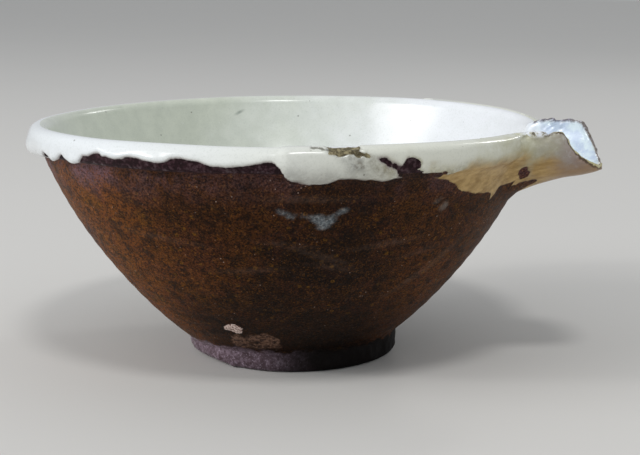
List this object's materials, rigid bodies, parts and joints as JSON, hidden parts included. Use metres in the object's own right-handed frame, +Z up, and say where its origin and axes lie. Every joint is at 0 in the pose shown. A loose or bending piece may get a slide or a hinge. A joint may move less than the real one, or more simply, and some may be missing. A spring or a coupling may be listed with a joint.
{
  "type": "spouted stoneware bowl",
  "caption": "Thrown stoneware bowl with a rolled white collar, brown wall, turned foot ring and a half-cone pouring spout, glaze chipped and crawled.",
  "frame": {"origin": "on the axis of the thrown body, in the plane of the foot ring's resting face", "axes": "+Z up along the body's axis, +X out along the spout"},
  "size_m": [0.2836, 0.2552, 0.118],
  "materials": {
    "glazed_stoneware": "gloss"
  },
  "bodies": {
    "root": {"bowl": "glazed_stoneware"}
  },
  "joints": []
}
